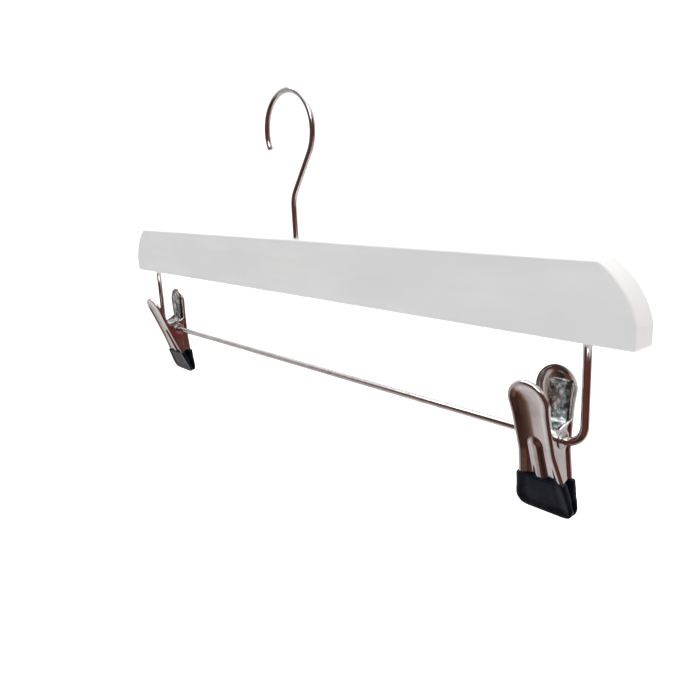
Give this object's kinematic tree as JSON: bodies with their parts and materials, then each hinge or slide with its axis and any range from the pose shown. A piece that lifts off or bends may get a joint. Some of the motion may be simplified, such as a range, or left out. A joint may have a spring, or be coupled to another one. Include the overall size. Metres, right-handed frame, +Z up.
{
  "type": "clothes hanger",
  "caption": "Flat wooden trouser hanger with a swivelling wire hook, a wire rod under the bar and sliding sprung clips with rubber tips.",
  "frame": {"origin": "top of the inside of the hook's crown, where the crown of a rail touches it", "axes": "+X along the bar, towards the side the hook's neck bends to; +Y to the rear; +Z up"},
  "size_m": [0.406, 0.0275, 0.1868],
  "materials": {
    "white_lacquer": "satin white lacquer over a faint grain",
    "polished_wire": "polished plated wire",
    "plated_sheet": "polished plated sheet",
    "plated_hardware": "plain plated",
    "spring_steel": "bluish zinc plate",
    "black_rubber": "smooth dipped vinyl, slightly glossy"
  },
  "bodies": {
    "hook": {"hook": "polished_wire"},
    "hanger_bar": {"wooden_bar": "white_lacquer", "hook_washer": "plated_hardware", "trouser_rod": "polished_wire", "rod_brad_left": "plated_hardware", "rod_brad_right": "plated_hardware"},
    "left_pivot": {"left_pivot_tube": "plated_hardware"},
    "left_clip": {"left_rear_jaw": "plated_sheet", "left_rear_tip": "black_rubber", "left_spring": "spring_steel"},
    "left_lever": {"left_front_jaw": "plated_sheet", "left_front_tip": "black_rubber"},
    "right_pivot": {"right_pivot_tube": "plated_hardware"},
    "right_clip": {"right_rear_jaw": "plated_sheet", "right_rear_tip": "black_rubber", "right_spring": "spring_steel"},
    "right_lever": {"right_front_jaw": "plated_sheet", "right_front_tip": "black_rubber"}
  },
  "joints": [
    {"name": "hook_swivel", "type": "hinge", "parent": "hook", "child": "hanger_bar", "pos_m": [0, 0, -0.09], "axis": [0, 0, 1], "continuous": true},
    {"name": "left_clip_slide", "type": "slide", "parent": "hanger_bar", "child": "left_pivot", "axis": [1, 0, 0], "range_m": [0, 0.145]},
    {"name": "left_clip_swing", "type": "hinge", "parent": "left_pivot", "child": "left_clip", "pos_m": [-0.166, 0, -0.1487], "axis": [1, 0, 0], "continuous": true},
    {"name": "left_squeeze", "type": "hinge", "parent": "left_clip", "child": "left_lever", "pos_m": [-0.166, 0, -0.1487], "axis": [-1, 0, 0], "range_deg": [0, 20], "stiffness_Nm_per_rad": 0.3, "springref_deg": -17.19, "deforming": ["left_spring"]},
    {"name": "right_clip_slide", "type": "slide", "parent": "hanger_bar", "child": "right_pivot", "axis": [-1, 0, 0], "range_m": [0, 0.145]},
    {"name": "right_clip_swing", "type": "hinge", "parent": "right_pivot", "child": "right_clip", "pos_m": [0.1628, 0, -0.1487], "axis": [1, 0, 0], "continuous": true},
    {"name": "right_squeeze", "type": "hinge", "parent": "right_clip", "child": "right_lever", "pos_m": [0.1628, 0, -0.1487], "axis": [-1, 0, 0], "range_deg": [0, 20], "stiffness_Nm_per_rad": 0.3, "springref_deg": -17.19, "deforming": ["right_spring"]}
  ]
}
